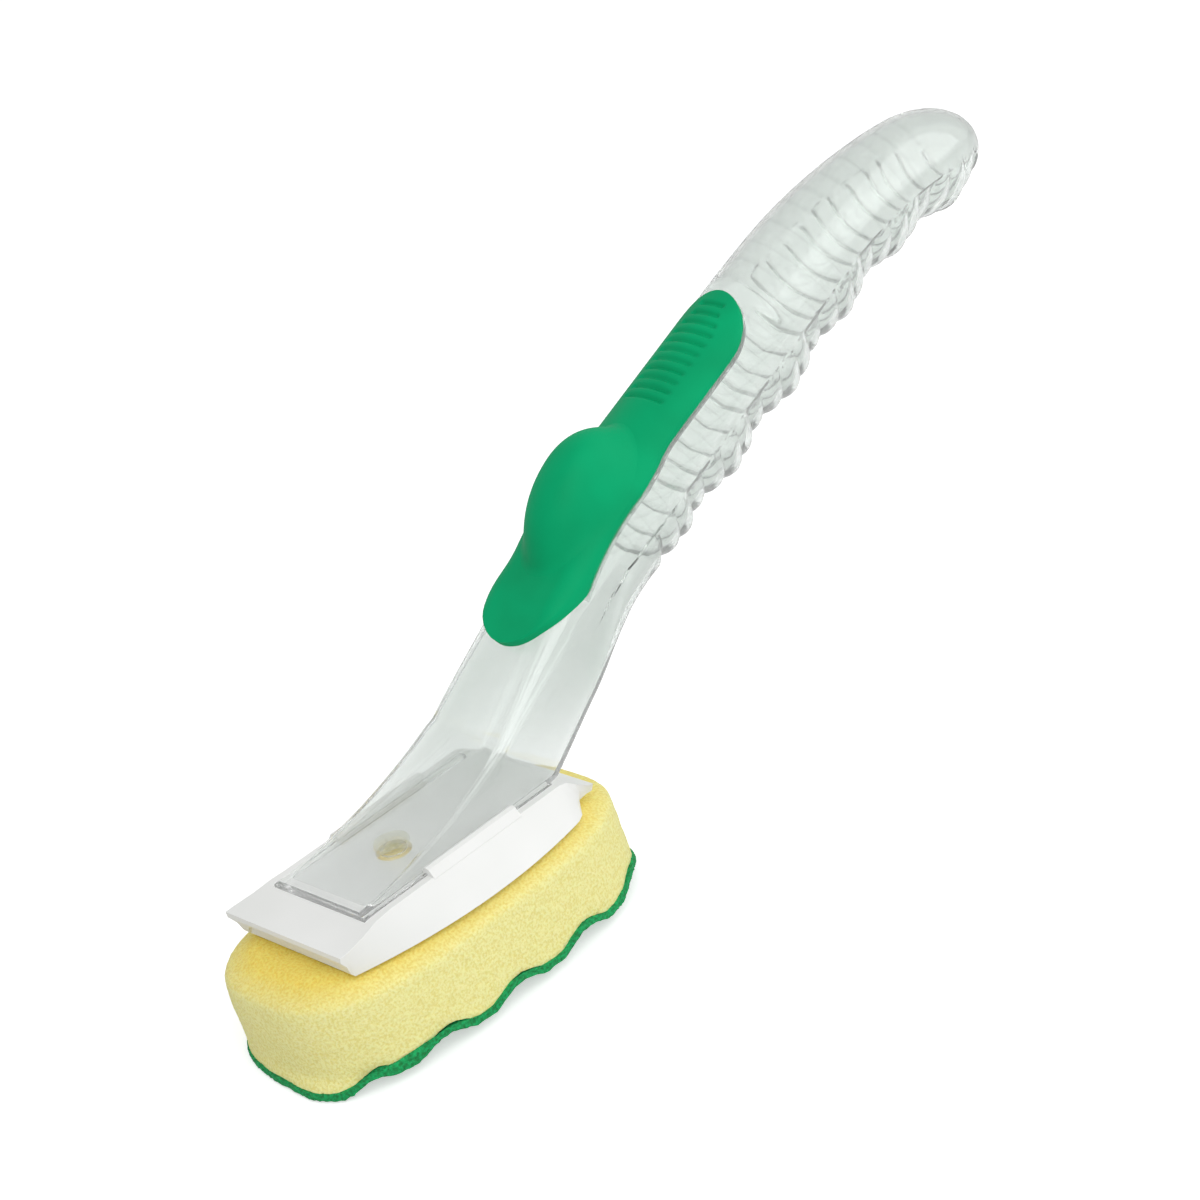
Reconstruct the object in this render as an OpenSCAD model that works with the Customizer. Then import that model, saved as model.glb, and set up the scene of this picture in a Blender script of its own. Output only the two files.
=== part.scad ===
// Soap dispensing dish wand: a hollow clear handle on a slide-on sponge refill.
// The underside of the scouring layer is at z = 0 and the handle points to +x.

/* [Foot] */
// Length of the foot, toe to heel
foot_l = 60; // [56:1:64]
// Width of the foot's flange
foot_w = 29.5; // [29:0.5:30]
// Thickness of the foot's flange
flange_t = 1.5; // [1.2:0.1:1.5]
// Height of the foot's front edge
toe_h = 2.4; // [2:0.1:3]
// Distance of the outlet from the toe
outlet_in = 22; // [20:1:26]
// Diameter of the outlet in the foot's floor
outlet_d = 6; // [5:0.5:7]

/* [Handle] */
// Slope of the neck above the foot
neck_angle = 35.5; // [34:0.5:37]
// Thickness of the neck, front face to rear face
neck_t = 19.5; // [18:0.5:20]
// Width of the neck
neck_w = 24.8; // [24:0.2:26]
// Length of the straight neck
neck_l = 39; // [37:1:41]
// Radius of the bend from the neck to the grip
bend_r = 60; // [55:1:65]
// Angle of that bend
bend_a = 14; // [12:0.5:16]
// Length of the straight grip
grip_l = 78; // [74:1:82]
// Thickness of the grip where it is fullest
grip_t = 29.6; // [28:0.2:30]
// Width of the grip
grip_w = 28.6; // [28:0.2:30]
// Radius of the grip's drooping end
end_r = 130; // [120:5:150]
// Length of the centre line, heel to tip
handle_l = 201; // [196:1:204]
// Length over which the tip rounds off
tip_l = 25; // [22:1:28]
// Wall of the clear mouldings
wall = 1.6; // [1.4:0.1:1.8]
// Pitch of the finger swells under the grip
finger_pitch = 24.5; // [23:0.5:26]
// Height of a finger swell
finger_h = 2.2; // [1:0.1:2.6]
// Ribs in each finger swell
ribs_per_finger = 4; // [3:1:5]
// Depth of the groove between two ribs
rib_h = 1.3; // [0.6:0.1:1.6]

/* [Rubber] */
// Depth of the pocket for the rubber
pocket_d = 2; // [1.6:0.1:2.2]
// Start of the pocket along the centre line
pocket_s0 = 35.4; // [35:0.2:36]
// Top end of the pocket along the centre line
pocket_s1 = 114; // [110:1:116]
// Place of the living hinge between tail and flap
hinge_s = 75.5; // [75:0.5:77]
// Place of the squeeze dome's middle
dome_s = 54.5; // [54:0.5:55]
// Length of the squeeze dome
dome_l = 34; // [32:1:35]
// Width of the squeeze dome
dome_w = 19.6; // [18:0.2:20]
// Height of the squeeze dome over the handle's back
dome_h = 9.5; // [8:0.5:11]
// Wall of the squeeze dome
dome_wall = 1.6; // [1.2:0.1:2]
// How far the flap's tab reaches past the pocket
tab_reach = 15.7; // [14:0.1:17]
// Thickness of the tab
tab_t = 2; // [1.6:0.1:2.4]
// How far the tab's tip stands off the neck
tab_lift = 2.6; // [1.5:0.1:3.5]

/* [Refill] */
// Height of the foot's seat above the scouring face
seat_h = 29; // [28:0.5:31]
// Depth of the white plate's skirt
skirt_h = 6.6; // [6:0.1:7]
// Wall of the white plate
plate_wall = 1.6; // [1.4:0.1:1.8]
// Width of the plate's base where it bulges most
base_w = 47.4; // [46:0.2:49]
// Width of the lip at the toe
lip_w = 37.4; // [36:0.2:38]
// How far the lip reaches past the toe
lip_reach = 10.8; // [9:0.2:12]
// Length of the sponge
sponge_l = 98.6; // [97:0.2:100]
// Width of the sponge
sponge_w = 53.6; // [52:0.2:55]
// Thickness of the green scouring layer
scour_t = 1.8; // [1.6:0.1:2.6]
// Pitch of the waves under the sponge
wave_pitch = 21; // [20:0.5:22]
// Depth of the waves, crest to trough
wave_h = 2.9; // [2:0.1:4.5]

/* [Hidden] */

// The heel of the foot, seen from the middle of the scouring face
heel = [45.5, 0, seat_h];
gap = 0.35;        // between pieces that move past each other
glue = 0.08;       // between pieces that are fixed to each other
fit = 0.15;        // between the foot and its seat, and along the seam
arc_steps = 5;     // facets in a section's rounded corner
patch_cols = 10;   // facets across a curved rubber piece

// Plane curves. A place on the handle is [x, z, slope].
function along(a) = [cos(a), sin(a)];
function across(a) = [-sin(a), cos(a)];
function run(c, a, l) = c + l * along(a);
function turn(c, a, r, l) = let (b = a - l / r * 180 / PI)
    c + r * [sin(a) - sin(b), cos(b) - cos(a)];
function ease(t) = let (k = max(0, min(1, t))) k * k * (3 - 2 * k);
function shift(s, s0, v0, s1, v1) = v0 + (v1 - v0) * ease((s - s0) / (s1 - s0));

bend_l = bend_r * bend_a * PI / 180;
grip_angle = neck_angle - bend_a;
bend_s = neck_l + bend_l;
end_s = bend_s + grip_l;
neck_c = across(neck_angle) * neck_t / 2;
bend_c = run(neck_c, neck_angle, neck_l);
grip_c = turn(bend_c, neck_angle, bend_r, bend_l);
end_c = run(grip_c, grip_angle, grip_l);

function centre(s) =
    s < neck_l ? run(neck_c, neck_angle, s) :
    s < bend_s ? turn(bend_c, neck_angle, bend_r, s - neck_l) :
    s < end_s ? run(grip_c, grip_angle, s - bend_s) :
    turn(end_c, grip_angle, end_r, s - end_s);
function slope(s) =
    s < neck_l ? neck_angle :
    s < bend_s ? neck_angle - (s - neck_l) / bend_r * 180 / PI :
    s < end_s ? grip_angle :
    grip_angle - (s - end_s) / end_r * 180 / PI;

// Half thickness and half width of the handle along its centre line
tip_s = handle_l - tip_l;
tip_r = 12.6;
function rounding(s) = s < tip_s ? 1 : sqrt(max(0, 1 - pow((s - tip_s) / tip_l, 2.2)));
function half_t(s) = rounding(s) * min(shift(s, 28, neck_t / 2, 66, grip_t / 2),
                                       shift(s, 115, grip_t / 2, 182, tip_r));
function half_w(s) = rounding(s) * min(shift(s, 30, neck_w / 2, 68, grip_w / 2),
                                       shift(s, 115, grip_w / 2, 182, tip_r));
// Corner radii of the section, on the back and underneath
function round_most(s) = min(half_t(s), half_w(s)) - 0.4;
function back_r(s) = min(round_most(s), s < 30 ? shift(s, 0, 2.5, 30, 5) :
                                               shift(s, 30, 5, 76, 15));
function under_r(s) = min(round_most(s), s < 20 ? shift(s, 0, 0.8, 20, 1.6) :
                                                shift(s, 20, 1.6, 68, 15));
// Finger swells and the ribs on them, as a change of the underside's radius
rib_s0 = 58;
rib_count = 22;
first_finger_s = 86.5;
rib_pitch = finger_pitch / ribs_per_finger;
rib_s1 = rib_s0 + rib_count * rib_pitch;
fade_l = 12;
function finger(s) = finger_h / 2 * cos(360 * (s - first_finger_s) / finger_pitch)
    * ease((s - rib_s0) / fade_l) * ease((rib_s1 - s) / fade_l);
function groove(s) = s < rib_s0 || s > rib_s1 ? 0 :
    rib_h * (1 - pow(abs(sin(180 * (s - rib_s0) / rib_pitch)), 0.6));
function inside(s) = rib_h * ease((s - rib_s0 + fade_l) / fade_l);

thin = 0.03; // what is left of the hollow where the handle is solid
// A section is [centre, slope, half t, half w, back radius, under radius, swell]
function wand_section(s, t) = let (deep = t > 0 ? pocket_d / 2 : 0, h = half_t(s) - t - deep,
    room = max(thin, h), w = max(thin, half_w(s) - t), most = 0.9 * min(room, w))
    [centre(s) - deep * across(slope(s)), slope(s), room, w,
    min(most, max(0.2, back_r(s) - t)), min(most, max(0.2, under_r(s) - t)),
    finger(s) - (t > 0 ? inside(s) : groove(s))];

// The foot: sections fan out from its floor to its sloping front face
toe_w = 27.4;
heel_w = 25.6;
face_top = 2 * neck_c;
face_bow = [[-44, 3.2], [-25, 8.6]];
function face(f) = pow(1 - f, 3) * [-foot_l, toe_h] + 3 * f * pow(1 - f, 2) * face_bow[0]
    + 3 * f * f * (1 - f) * face_bow[1] + pow(f, 3) * face_top;
function foot_section(f, t) = let (b = face(f), u = [-foot_l * (1 - f), 0], v = b - u,
    h = norm(v) / 2, w = toe_w / 2 + (heel_w - toe_w) / 2 * f, floor_t = t > 0 ? t + 0.8 : 0,
    room = max(thin, h - (t + floor_t) / 2), most = 0.9 * room)
    [(b + u) / 2 + (floor_t - t) / 2 * v / (2 * h), atan2(v.y, v.x) - 90, room,
        w - t, min(most, max(0.2, 1 + 1.5 * f - t)), min(most, 0.2), 0];

// Height of the handle's back over its centre line, at a distance y from the middle
function crown(s, y) = let (r = back_r(s), d = abs(y) - half_w(s) + r)
    d <= 0 ? half_t(s) : half_t(s) - r + sqrt(max(0, r * r - d * d));
// A point of the section at s, h above the centre line
function place(s, y, h) = let (c = centre(s) + h * across(slope(s))) [c.x, y, c.y];
function on_back(s, y, up) = place(s, y, crown(s, y) + up);

// A rounded section of a solid that runs along x, as a ring of points
function corner(w, h, r, a0) = [for (i = [0 : arc_steps]) let (a = a0 + 90 * i / arc_steps)
    [w + r * cos(a), h + r * sin(a)]];
function swollen(p, h, k) = p.y >= 0 ? p : p * (1 + k * min(1, -3 * p.y / h) / norm(p));
function lifted(points, sec) = [for (q = points)
    let (p = swollen(q, sec[2], sec[6]), c = sec[0] + p.y * across(sec[1])) [c.x, p.x, c.y]];
function back_half(sec) = lifted(concat(
    corner(sec[3] - sec[4], sec[2] - sec[4], sec[4], 0),
    corner(sec[4] - sec[3], sec[2] - sec[4], sec[4], 90)), sec);
function under_half(sec, drop) = lifted(concat([[-sec[3], sec[2] - sec[4] - drop]],
    corner(sec[5] - sec[3], sec[5] - sec[2], sec[5], 180),
    corner(sec[3] - sec[5], sec[5] - sec[2], sec[5], 270),
    [[sec[3], sec[2] - sec[4] - drop]]), sec);
function backward(list) = [for (i = [len(list) - 1 : -1 : 0]) list[i]];
// The walls of the two clear shells, between an outer and an inner section
function back_wall(out, in) = concat(back_half(out), backward(back_half(in)));
function under_wall(out, in) = concat(under_half(out, fit), backward(under_half(in, fit)));

// A closed solid through a list of rings that have the same number of points
module skin(rings) {
    n = len(rings[0]);
    last = (len(rings) - 1) * n;
    sides = [for (i = [0 : len(rings) - 2], j = [0 : n - 1])
        let (a = i * n + j, b = i * n + (j + 1) % n) each [[a, a + n, b + n], [a, b + n, b]]];
    ends = [[for (j = [0 : n - 1]) j], [for (j = [n - 1 : -1 : 0]) last + j]];
    polyhedron([for (r = rings) each r], concat(sides, ends));
}
// Joins what it holds into one moulding, at its own size
module moulding() {
    resize([0, 0, 0]) children();
}

// Places along the centre line where the sections stand
function spread(s0, s1, n) = [for (i = [0 : n]) s0 + (s1 - s0) * i / n];
foot_steps = 7;
rib_steps = 4;
neck_stops = [for (s = [0 : 8 : rib_s0 - 4]) s];
rib_stops = [for (i = [0 : rib_count * rib_steps]) rib_s0 + i * rib_pitch / rib_steps];
tip_stops = [for (k = [0.4, 0.7, 0.88, 0.98]) rib_s1 + k * (handle_l - rib_s1)];
plain_stops = [for (i = [0 : 3 : len(rib_stops) - 1]) rib_stops[i]];

function foot_walls(back) = [for (i = [0 : foot_steps - 1]) let (f = i / foot_steps,
    out = foot_section(f, 0), in = foot_section(f, wall)) back ? back_wall(out, in) : under_wall(out, in)];
function wand_walls(stops, back) = [for (s = stops) let (out = wand_section(s, 0),
    in = wand_section(s, wall)) back ? back_wall(out, in) : under_wall(out, in)];

// The rubber's outline on the back of the handle: half width at s
tab_s = pocket_s0 - tab_reach;
tab_w = 11.7;
tail_w = 10.7;
tail_round_s = pocket_s1 - 16;
function bulge(k, n) = sqrt(max(0.02, 1 - pow(max(0, k), n)));
function rubber_w(s) = s < pocket_s0
    ? tab_w * bulge((pocket_s0 - s) / (tab_reach + 0.3), 2.2)
    : shift(s, 60, tab_w, hinge_s, tail_w)
        * bulge((s - tail_round_s) / (pocket_s1 + 0.3 - tail_round_s), 2);
// A band of the back between two heights, widened by more
function band(s, more, low, high) = let (w = rubber_w(s) + more) concat(
    [for (j = [0 : patch_cols]) on_back(s, w * (2 * j / patch_cols - 1), low)],
    [for (j = [patch_cols : -1 : 0]) on_back(s, w * (2 * j / patch_cols - 1), high)]);

// The dome stands square on the back at its own place
module at_dome() {
    c = centre(dome_s);
    translate([c.x, 0, c.y]) rotate([0, -slope(dome_s), 0]) translate([0, 0, half_t(dome_s)])
        children();
}
hole_facets = 48;
module dome_hole(more) {
    at_dome() resize([dome_l + 2 * more, dome_w + 2 * more, 0])
        rotate(180 / hole_facets) cylinder(h = 24, r = 10, center = true, $fn = hole_facets);
}

module back_shell() {
    color([0.86, 0.9, 0.88, 0.45]) translate(heel) moulding() difference() {
        skin(concat(foot_walls(true), wand_walls(concat(neck_stops, plain_stops, tip_stops), true)));
        skin([for (s = spread(pocket_s0, pocket_s1, 26)) band(s, gap / 2, -pocket_d, 9)]);
        dome_hole(gap);
    }
}

module grip_shell() {
    color([0.84, 0.89, 0.87, 0.45]) translate(heel) moulding() difference() {
        union() {
            skin(concat(foot_walls(false), wand_walls(concat(neck_stops, rib_stops, tip_stops), false)));
            foot_flange();
        }
        translate([outlet_in - foot_l, 0, -1]) cylinder(h = 3.6, d = outlet_d, $fn = 32);
    }
}
module foot_flange() {
    proud = 0.06;
    translate([-foot_l - proud, -foot_w / 2, 0]) cube([foot_l - 4, foot_w, flange_t]);
}

module outlet_valve() {
    seat_t = 2.05;
    lip_t = 0.7;
    slit = 0.4;
    color("whitesmoke") translate(heel + [outlet_in - foot_l, 0, 0]) difference() {
        union() {
            cylinder(h = seat_t, d = outlet_d - 0.1, $fn = 40);
            translate([0, 0, seat_t]) cylinder(h = lip_t, d = outlet_d + 2, $fn = 40);
        }
        translate([0, 0, -0.1]) cylinder(h = 1, d = outlet_d - 2, $fn = 32);
        for (turn = [0, 90]) rotate(turn) cube([outlet_d - 2.4, slit, 9], center = true);
    }
}

module grip_tail() {
    color([0, 0.62, 0.38]) translate(heel) skin([for (s = spread(hinge_s + gap / 2, pocket_s1 - gap, 18))
        band(s, -gap / 2, 2 * glue - pocket_d, 0.6)]);
}
module fill_flap() {
    color([0, 0.62, 0.38]) translate(heel) moulding() difference() {
        skin([for (s = concat(spread(tab_s, pocket_s0 - 1, 9), [pocket_s0 + gap],
            spread(pocket_s0 + 2 * gap, hinge_s - gap / 2, 20)))
            band(s, -gap / 2, flap_low(s), flap_top(s))]);
        dome_hole(gap);
    }
}
function flap_top(s) = shift(s, pocket_s0 - 3, tab_lift, pocket_s0 + 6, 0.6);
function flap_low(s) = s > pocket_s0 + 1.5 * gap ? gap - pocket_d :
    max(gap, flap_top(s) - tab_t + 0.4 * (pocket_s0 - s) / tab_reach);

module squeeze_dome() {
    lip = 2.4;
    base = 1.5;
    round_h = dome_h + base;
    color([0, 0.6, 0.36]) translate(heel) at_dome() resize([dome_l, dome_w, 0])
        rotate_extrude($fn = 48) difference() {
            dome_profile(10, round_h, base, lip);
            dome_profile(10 - dome_wall, round_h - dome_wall, base, lip + 1);
        }
}
module dome_profile(r, h, base, lip) {
    polygon(concat([[0, -base - lip], [r, -base - lip]],
        [for (a = [0 : 10 : 90]) [r * cos(a), -base + h * sin(a)]]));
}

// The refill, seen from the heel of the foot: x is 0 there and -foot_l at the toe
lip_x = -foot_l - lip_reach;
front_x = lip_x + 3;
rear_x = 4.6;
bulge_x = -30;     // here the plate's base is widest
deck_t = 1.6;
rail_top = 1.3;
rail_w = 1.9;
crease_z = -3;
step_h = 0.45;     // stops the foot's toe
seat_w = foot_w + 2 * fit;
function flare(x) = shift(x, lip_x, lip_w / 2, -foot_l + 6, seat_w / 2 + rail_w)
    + shift(x, -2, 0, rear_x, 1.1);
function corner_cut(x, x1, r) = x < x1 - r ? 0 : r - sqrt(max(0, r * r - pow(x - x1 + r, 2)));
function base_half(x) = max(flare(x) - 1.2,
    base_w / 2 - 0.0042 * pow(x - bulge_x, 2) - corner_cut(x, 1, 6));
function crease_half(x) = (flare(x) + base_half(x)) / 2 + 0.3;
function deck_z(x) = x < -foot_l ? shift(x, lip_x, 0, -foot_l - 3, step_h) : shift(x, -2, 0, rear_x, -3);
function rail_z(x) = deck_z(x) + shift(x, -foot_l - 3, 0, -foot_l + 2, rail_top)
    - shift(x, -4, 0, 1, rail_top);
function plate_low(x) = x < front_x ? -1.3 + (1.3 - skirt_h) * ease((x - lip_x) / 3) :
    shift(x, -2, -skirt_h, 3, -5);
plate_stops = concat([lip_x, lip_x + 1.2, lip_x + 2.2], spread(front_x, -6, 14),
    [-4, -2, 0, 1, 3, rear_x]);

module plate_solid() {
    skin([for (x = plate_stops) let (b = base_half(x), c = crease_half(x), f = flare(x),
        low = plate_low(x), mid = max(low, crease_z), high = rail_z(x))
        [[x, -b, low], [x, b, low], [x, c, mid], [x, f, high], [x, -f, high], [x, -c, mid]]]);
}
// The space under the deck, which the foam fills
module plate_inside(inset, drop) {
    skin([for (x = spread(front_x + 0.6 + inset, rear_x - inset, 14)) let (b = base_half(x) - inset,
        t = flare(x) - inset, top = min(-fit, deck_z(x)) - drop)
        [[x, -b, -skirt_h - 1.2], [x, b, -skirt_h - 1.2], [x, t, top], [x, -t, top]]]);
}
module lug() {
    lug_in = 13.85;
    under = flange_t + fit;
    out = seat_w / 2 + rail_w;
    translate([lug_x, 0, 0]) rotate([90, 0, 90]) linear_extrude(lug_l)
        polygon([[lug_in, under], [lug_in, under + 1.1], [lug_in + 1, under + 1.5], [out - 1, under + 1.2],
            [out + 0.4, under - 0.6], [out + 0.4, 0], [out - 1, 0], [seat_w / 2, under]]);
}
lug_x = -42;
lug_l = 26;
// The arched recess under the lip, where a thumb pushes
module thumb_recess() {
    thumb_in = 2.4;
    translate([lip_x - 1, 0, 0]) rotate([90, 0, 90]) linear_extrude(1 + thumb_in)
        polygon([[-16, -skirt_h - 1], [-14.5, -4.2], [-12, -2.2], [-8, -1.6], [8, -1.6], [12, -2.2],
            [14.5, -4.2], [16, -skirt_h - 1]]);
}
module refill_plate() {
    hole_d = 8;
    slot_w = 1.9;
    slot_y = seat_w / 2 - 0.3;
    color("white") translate(heel) moulding() difference() {
        union() {
            difference() {
                plate_solid();
                plate_inside(plate_wall, deck_t);
                translate([-foot_l - fit, -seat_w / 2, -fit]) cube([foot_l + 20, seat_w, 9]);
            }
            for (side = [0, 1]) mirror([0, side, 0]) lug();
        }
        translate([outlet_in - foot_l, 0, -5]) cylinder(h = 9, d = hole_d, $fn = 32);
        for (y = [-slot_y, slot_y - slot_w]) translate([lug_x, y, -4]) cube([lug_l, slot_w, 5]);
        thumb_recess();
    }
}

// The sponge and its scouring layer: a plan outline lofted upward, cut by the waves
foam_x = -33.7;    // middle of the sponge
crest_x = -heel.x; // the wave crest that the origin is on
crest_cut = 0.5;   // the crests are flat where the wand stands on them
foam_lean = 1.4;   // the sponge is this much smaller at the top
foam_high = skirt_h + glue;
outline_pts = 80;
nose_lean = 3.2;   // the front wall leans back, top to bottom
function rounded_end(a, p) = sign(a) * pow(abs(a), p);
function plan(z, t, front) = [for (i = [0 : outline_pts - 1])
    let (a = 360 * (i + 0.5) / outline_pts, l = sponge_l / 2 - t - (cos(a) < 0 ? front : 0))
    [foam_x + l * rounded_end(cos(a), 2 / 3), (sponge_w / 2 - t) * rounded_end(sin(a), 2 / 3), z]];
function wave(x) = max(-seat_h, -seat_h - crest_cut
    + wave_h / 2 * (1 - cos(360 * (x - crest_x) / wave_pitch)));
module wave_band(low, high) {
    xs = spread(foam_x - sponge_l / 2 - 1, foam_x + sponge_l / 2 + 1, 120);
    translate([0, sponge_w, 0]) rotate([90, 0, 0]) linear_extrude(2 * sponge_w)
        polygon(concat([for (x = xs) [x, wave(x) + low]],
            [for (i = [120 : -1 : 0]) [xs[i], high > 0 ? wave(xs[i]) + high : 0]]));
}
module foam_block() {
    skin([plan(-seat_h - 5, 0, nose_lean), plan(-12, foam_lean, 0), plan(-9.6, foam_lean + 0.6, 0),
        plan(-8, foam_lean + 1.9, 0), plan(-foam_high - 0.3, foam_lean + 4, 0),
        plan(-foam_high, foam_lean + 6.5, 0)]);
}
module foam_sponge() {
    color([0.98, 0.9, 0.5]) translate(heel) moulding() union() {
        intersection() {
            foam_block();
            wave_band(scour_t, 0);
        }
        plate_inside(plate_wall + gap, deck_t + gap);
    }
}
module scour_pad() {
    color([0.05, 0.6, 0.3]) translate(heel) moulding() intersection() {
        foam_block();
        wave_band(0, scour_t - glue);
    }
}

back_shell();
grip_shell();
outlet_valve();
grip_tail();
fill_flap();
squeeze_dome();
refill_plate();
foam_sponge();
scour_pad();
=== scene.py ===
import math

import bmesh
import bpy
from mathutils import Matrix, Vector, noise


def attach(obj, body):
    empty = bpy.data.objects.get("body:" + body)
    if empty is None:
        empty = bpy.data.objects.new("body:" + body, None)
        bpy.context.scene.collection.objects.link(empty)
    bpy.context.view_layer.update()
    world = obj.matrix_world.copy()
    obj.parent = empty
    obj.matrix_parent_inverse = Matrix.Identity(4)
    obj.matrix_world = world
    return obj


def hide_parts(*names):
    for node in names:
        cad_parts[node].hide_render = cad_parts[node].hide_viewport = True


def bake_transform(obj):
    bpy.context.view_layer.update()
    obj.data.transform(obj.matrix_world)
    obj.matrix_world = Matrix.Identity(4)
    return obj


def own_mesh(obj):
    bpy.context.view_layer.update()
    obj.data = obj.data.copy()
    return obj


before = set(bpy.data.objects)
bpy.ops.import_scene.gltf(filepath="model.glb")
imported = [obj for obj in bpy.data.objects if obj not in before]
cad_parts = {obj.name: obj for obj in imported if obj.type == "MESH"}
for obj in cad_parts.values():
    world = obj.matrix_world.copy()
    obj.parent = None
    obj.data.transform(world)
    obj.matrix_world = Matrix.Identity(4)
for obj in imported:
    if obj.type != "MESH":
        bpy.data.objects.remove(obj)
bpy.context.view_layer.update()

# Lengths are in millimetres from the heel of the foot, and toFrame turns them to metres in the frame.
# A place along the handle is its distance s up the centre line from the heel.
wand = {
    "heelX": 45.5, "heelZ": 29.0,
    "neckAngle": 35.5, "neckThick": 19.5, "neckWide": 24.8, "neckLong": 39.0,
    "bendRadius": 60.0, "bendAngle": 14.0, "gripLong": 78.0, "gripThick": 29.6, "gripWide": 28.6,
    "thickFrom": 28.0, "thickBy": 66.0, "wideFrom": 30.0, "wideBy": 68.0,
    "taperFrom": 115.0, "taperBy": 182.0,
    "endRadius": 130.0, "fullLong": 201.0, "tipLong": 25.0, "tipHalf": 12.6, "tipFull": 2.2,
    "backCorner": ((0, 2.5), (30, 5), (76, 15)), "underCorner": ((0, 0.8), (20, 1.6), (68, 15)),
}


def toFrame(x, y, z):
    return Vector((x + wand["heelX"], y, z + wand["heelZ"])) / 1000


def smooth(t):
    t = max(0.0, min(1.0, t))
    return t * t * (3 - 2 * t)


def shift(s, s0, v0, s1, v1):
    return v0 + (v1 - v0) * smooth((s - s0) / (s1 - s0))


def eased(s, stops):  # a value that eases from stop to stop
    for (s0, v0), (s1, v1) in zip(stops, stops[1:]):
        if s < s1:
            return shift(s, s0, v0, s1, v1)
    return stops[-1][1]


def bulge(k, n):  # a rounded end: 1 where k is 0 or less, 0 where it is 1
    return math.sqrt(max(0, 1 - max(0, k) ** n))


def along(a):
    return Vector((math.cos(math.radians(a)), math.sin(math.radians(a))))


def across(a):
    return Vector((-math.sin(math.radians(a)), math.cos(math.radians(a))))


def turned(start, a, radius, length):  # a point further on, round a downward bend
    b = a - math.degrees(length / radius)
    return start + radius * Vector((math.sin(math.radians(a)) - math.sin(math.radians(b)),
                                    math.cos(math.radians(b)) - math.cos(math.radians(a))))


bendStart = wand["neckLong"]
bendEnd = bendStart + wand["bendRadius"] * math.radians(wand["bendAngle"])
gripEnd = bendEnd + wand["gripLong"]
gripAngle = wand["neckAngle"] - wand["bendAngle"]
neckPoint = across(wand["neckAngle"]) * wand["neckThick"] / 2
bendPoint = neckPoint + bendStart * along(wand["neckAngle"])
gripPoint = turned(bendPoint, wand["neckAngle"], wand["bendRadius"], bendEnd - bendStart)
endPoint = gripPoint + wand["gripLong"] * along(gripAngle)


def slope(s):
    if s < bendStart:
        return wand["neckAngle"]
    if s < bendEnd:
        return wand["neckAngle"] - math.degrees((s - bendStart) / wand["bendRadius"])
    if s < gripEnd:
        return gripAngle
    return gripAngle - math.degrees((s - gripEnd) / wand["endRadius"])


def centre(s):
    if s < bendStart:
        return neckPoint + s * along(wand["neckAngle"])
    if s < bendEnd:
        return turned(bendPoint, wand["neckAngle"], wand["bendRadius"], s - bendStart)
    if s < gripEnd:
        return gripPoint + (s - bendEnd) * along(gripAngle)
    return turned(endPoint, gripAngle, wand["endRadius"], s - gripEnd)


tipStart = wand["fullLong"] - wand["tipLong"]


def tipShare(s):
    return bulge((s - tipStart) / wand["tipLong"], wand["tipFull"])


def halfSize(s, neck, s0, full, s1):
    return tipShare(s) * eased(s, ((s0, neck / 2), (s1, full / 2), (wand["taperFrom"], full / 2),
                                   (wand["taperBy"], wand["tipHalf"])))


def halfThick(s):
    return halfSize(s, wand["neckThick"], wand["thickFrom"], wand["gripThick"], wand["thickBy"])


def halfWide(s):
    return halfSize(s, wand["neckWide"], wand["wideFrom"], wand["gripWide"], wand["wideBy"])


def backRound(s):
    return min(halfThick(s), halfWide(s), eased(s, wand["backCorner"]))


def underRound(s):
    return min(halfThick(s), halfWide(s), eased(s, wand["underCorner"]))


def crown(s, y):  # height of the back over the centre line
    r = backRound(s)
    d = abs(y) - halfWide(s) + r
    return halfThick(s) - r + (r if d <= 0 else math.sqrt(max(0, r * r - d * d)))


def onBack(s, y, up):
    c = centre(s) + (crown(s, y) + up) * across(slope(s))
    return toFrame(c.x, y, c.y)


weldReach = 2e-6


def shade(bm, sharpAngle):
    bmesh.ops.recalc_face_normals(bm, faces=bm.faces)
    for f in bm.faces:
        f.smooth = True
    for e in bm.edges:
        e.smooth = not (len(e.link_faces) == 2 and e.calc_face_angle(0) > math.radians(sharpAngle))


def fillHoles(bm):
    bmesh.ops.holes_fill(bm, edges=[e for e in bm.edges if e.is_boundary], sides=0)


def finish(bm, name, sharpAngle=38):
    bmesh.ops.remove_doubles(bm, verts=bm.verts, dist=weldReach)
    shade(bm, sharpAngle)
    mesh = bpy.data.meshes.new(name)
    bm.to_mesh(mesh)
    bm.free()
    piece = bpy.data.objects.new(name, mesh)
    bpy.context.scene.collection.objects.link(piece)
    return piece


def wrapped(columns, rows, place):  # a grid bent by place(u, v), closed round u and at its ends
    bm = bmesh.new()
    bmesh.ops.create_grid(bm, x_segments=columns, y_segments=rows, size=0.5)
    for v in bm.verts:
        v.co = place(v.co.x + 0.5, v.co.y + 0.5)
    bmesh.ops.remove_doubles(bm, verts=bm.verts, dist=weldReach)
    fillHoles(bm)
    bmesh.ops.recalc_face_normals(bm, faces=bm.faces)
    return bm


def nearest(stops, t):  # the stop that lies at share t of the list
    return stops[round(t * (len(stops) - 1))]


def cutWith(piece, cutters, operation="DIFFERENCE"):
    for c in cutters:
        m = piece.modifiers.new("cut", "BOOLEAN")
        m.operation, m.solver, m.object = operation, "MANIFOLD", c
    bpy.context.view_layer.update()
    mesh = bpy.data.meshes.new_from_object(piece.evaluated_get(bpy.context.evaluated_depsgraph_get()))
    piece.modifiers.clear()
    piece.data = mesh
    for c in cutters:
        bpy.data.objects.remove(c)


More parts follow.
